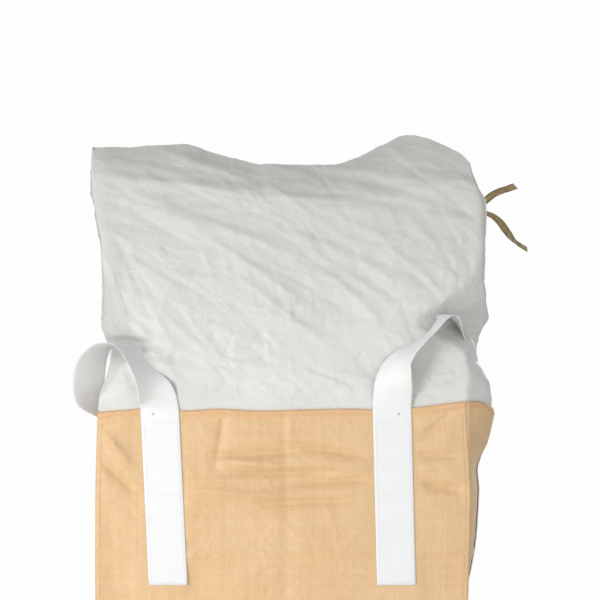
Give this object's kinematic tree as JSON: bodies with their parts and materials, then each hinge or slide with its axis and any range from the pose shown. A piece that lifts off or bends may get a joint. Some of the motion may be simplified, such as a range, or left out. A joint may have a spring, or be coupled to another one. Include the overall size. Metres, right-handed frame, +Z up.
{
  "type": "bulk bag",
  "caption": "Empty woven bulk bag, open at the top, with a light duffle skirt, a tie tape and a webbing lifting loop across each corner.",
  "frame": {"origin": "centre of the underside of the square base, on the floor", "axes": "+Z up through the mouth; -Y is the front panel that the picture shows; +X is to the right in the picture"},
  "size_m": [1.2164, 1.0519, 1.79],
  "materials": {
    "body_cloth": "woven, slightly glossy tape cloth",
    "skirt_cloth": "thin woven, crumpled",
    "loop_webbing": "ribbed webbing, matte",
    "thread": "matte thread",
    "tie_tape": "flat woven tape, satin"
  },
  "bodies": {
    "root": {"bottom_panel": "body_cloth", "front_panel": "body_cloth", "back_panel": "body_cloth", "left_side_panel": "body_cloth", "right_side_panel": "body_cloth", "bottom_seam": "thread", "front_corner_seams": "thread", "back_corner_seams": "thread", "skirt_seam": "thread", "skirt_lower": "skirt_cloth", "front_left_loop_legs": "loop_webbing", "front_left_loop_bends": "loop_webbing", "front_left_loop_stitching": "thread", "front_right_loop_legs": "loop_webbing", "front_right_loop_bends": "loop_webbing", "front_right_loop_stitching": "thread", "back_right_loop_legs": "loop_webbing", "back_right_loop_bends": "loop_webbing", "back_right_loop_stitching": "thread", "back_left_loop_legs": "loop_webbing", "back_left_loop_bends": "loop_webbing", "back_left_loop_stitching": "thread"},
    "skirt_top": {"skirt_upper": "skirt_cloth", "mouth_hem": "skirt_cloth", "tie_bartack": "tie_tape", "upper_tie_tail": "tie_tape", "lower_tie_tail": "tie_tape"},
    "front_left_loop": {"front_left_loop_arch": "loop_webbing"},
    "front_right_loop": {"front_right_loop_arch": "loop_webbing"},
    "back_right_loop": {"back_right_loop_arch": "loop_webbing"},
    "back_left_loop": {"back_left_loop_arch": "loop_webbing"}
  },
  "joints": [
    {"name": "front_left_loop_swing", "type": "hinge", "parent": "root", "child": "front_left_loop", "pos_m": [-0.42957, -0.40874, 1.13576], "axis": [0.6624, -0.7491, 0], "range_deg": [-5, 110], "deforming": ["front_left_loop_bends"]},
    {"name": "front_right_loop_swing", "type": "hinge", "parent": "root", "child": "front_right_loop", "pos_m": [0.43906, -0.39811, 1.15094], "axis": [0.7838, 0.621, 0], "range_deg": [-5, 110], "deforming": ["front_right_loop_bends"]},
    {"name": "back_right_loop_swing", "type": "hinge", "parent": "root", "child": "back_right_loop", "pos_m": [0.41975, 0.39402, 1.14408], "axis": [-0.7116, 0.7026, 0], "range_deg": [-5, 110], "deforming": ["back_right_loop_bends"]},
    {"name": "back_left_loop_swing", "type": "hinge", "parent": "root", "child": "back_left_loop", "pos_m": [-0.42007, 0.39676, 1.13992], "axis": [-0.6953, -0.7187, 0], "range_deg": [-5, 110], "deforming": ["back_left_loop_bends"]},
    {"name": "skirt_drop", "type": "slide", "parent": "root", "child": "skirt_top", "axis": [0, 0, -1], "range_m": [0, 0.22], "deforming": ["skirt_lower"]}
  ]
}
